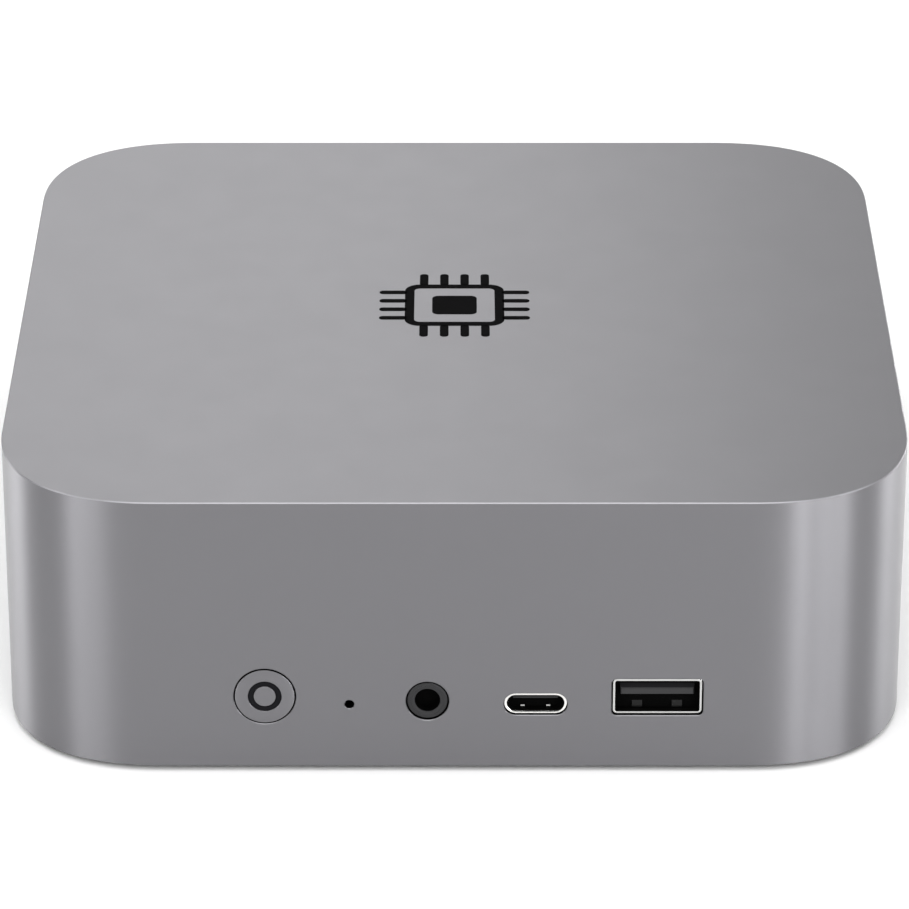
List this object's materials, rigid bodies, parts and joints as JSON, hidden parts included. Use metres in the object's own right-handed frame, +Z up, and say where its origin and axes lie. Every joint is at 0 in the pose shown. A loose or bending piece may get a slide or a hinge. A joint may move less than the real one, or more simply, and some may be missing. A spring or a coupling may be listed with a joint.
{
  "type": "compact desktop computer",
  "caption": "Palm-sized square desktop computer: one-piece anodised aluminium housing, rounded corners, front button and ports, black rear panel with exhaust grille, screwed bottom cover.",
  "frame": {"origin": "on the surface it stands on, under the middle of the square housing, at the underside of the feet", "axes": "+Z up, the front with the power button and the front ports faces -Y, +X to the right seen from the front"},
  "size_m": [0.135, 0.135, 0.0447],
  "materials": {
    "housing": "fine bead-blasted and anodised grey, satin",
    "black_plastic": "fine moulded texture, matte",
    "light_guide": "smoked light guide, satin",
    "filter_mesh": "fine woven mesh, matte",
    "foot_rubber": "matte",
    "dark_steel": "black-oxide, satin",
    "bright_steel": "nickel plated, bright",
    "contact_plastic": "moulded, satin",
    "circuit_board": "solder resist, satin",
    "processor": "polished silicon on a laminate",
    "cell_steel": "bright",
    "copper": "bare copper, satin",
    "bare_aluminium": "bare rolled sheet",
    "card": "green solder resist, satin",
    "lead_jacket": "smooth jacket, satin"
  },
  "bodies": {
    "computer": {"top_shell": "housing", "rear_panel": "black_plastic", "bottom_cover": "black_plastic", "button_guide": "black_plastic", "fan_housing": "black_plastic", "dc_jack": "black_plastic", "headset_jack": "black_plastic", "dust_filter": "filter_mesh", "foot_front_left": "foot_rubber", "foot_front_right": "foot_rubber", "foot_rear_left": "foot_rubber", "foot_rear_right": "foot_rubber", "cover_screw_front_left": "dark_steel", "cover_screw_front_right": "dark_steel", "cover_screw_rear_left": "dark_steel", "cover_screw_rear_right": "dark_steel", "board_screw_front": "dark_steel", "board_screw_rear": "dark_steel", "ssd_screw": "dark_steel", "power_switch": "dark_steel", "reset_switch": "dark_steel", "usb_c_front_shell": "bright_steel", "usb_a_front_shell": "bright_steel", "usb_c_rear_shell": "bright_steel", "hdmi_shell": "bright_steel", "lan_jack_shell": "bright_steel", "usb_a_rear_1_shell": "bright_steel", "usb_a_rear_2_shell": "bright_steel", "usb_c_front_tongue": "contact_plastic", "usb_a_front_tongue": "contact_plastic", "usb_c_rear_tongue": "contact_plastic", "hdmi_tongue": "contact_plastic", "lan_jack_insert": "contact_plastic", "usb_a_rear_1_tongue": "contact_plastic", "usb_a_rear_2_tongue": "contact_plastic", "coin_cell_holder": "contact_plastic", "memory_socket_1": "contact_plastic", "memory_socket_2": "contact_plastic", "ssd_socket": "contact_plastic", "wifi_socket": "contact_plastic", "motherboard": "circuit_board", "cpu_package": "processor", "coin_cell": "cell_steel", "vapor_chamber": "copper", "fan_stator": "copper", "fin_stack": "bare_aluminium", "fan_cover": "bare_aluminium", "ssd_heatsink": "bare_aluminium", "memory_module_1": "card", "memory_module_2": "card", "ssd_module": "card", "wifi_card": "card", "fan_lead": "lead_jacket", "antenna_left": "lead_jacket", "antenna_right": "lead_jacket"},
    "power_button": {"power_button": "housing", "power_light_ring": "light_guide"},
    "power_plunger": {"power_switch_plunger": "black_plastic"},
    "reset_plunger": {"reset_switch_plunger": "black_plastic"},
    "fan_wheel": {"fan_rotor": "black_plastic"}
  },
  "joints": [
    {"name": "power_press", "type": "slide", "parent": "computer", "child": "power_button", "axis": [0, 1, 0], "range_m": [0, 0.0005], "stiffness_N_per_m": 2000, "springref_m": -0.0003},
    {"name": "power_switch_press", "type": "slide", "parent": "computer", "child": "power_plunger", "axis": [0, 1, 0], "range_m": [0, 0.0005]},
    {"name": "reset_press", "type": "slide", "parent": "computer", "child": "reset_plunger", "axis": [0, 1, 0], "range_m": [0, 0.00025], "stiffness_N_per_m": 4000, "springref_m": -0.0002},
    {"name": "fan_spin", "type": "hinge", "parent": "computer", "child": "fan_wheel", "pos_m": [0.0026, 0.001, 0.0304], "axis": [0, 0, 1], "continuous": true}
  ],
  "couplings": [
    {"joint": "power_switch_press", "follows": "power_press", "ratio": 1}
  ]
}
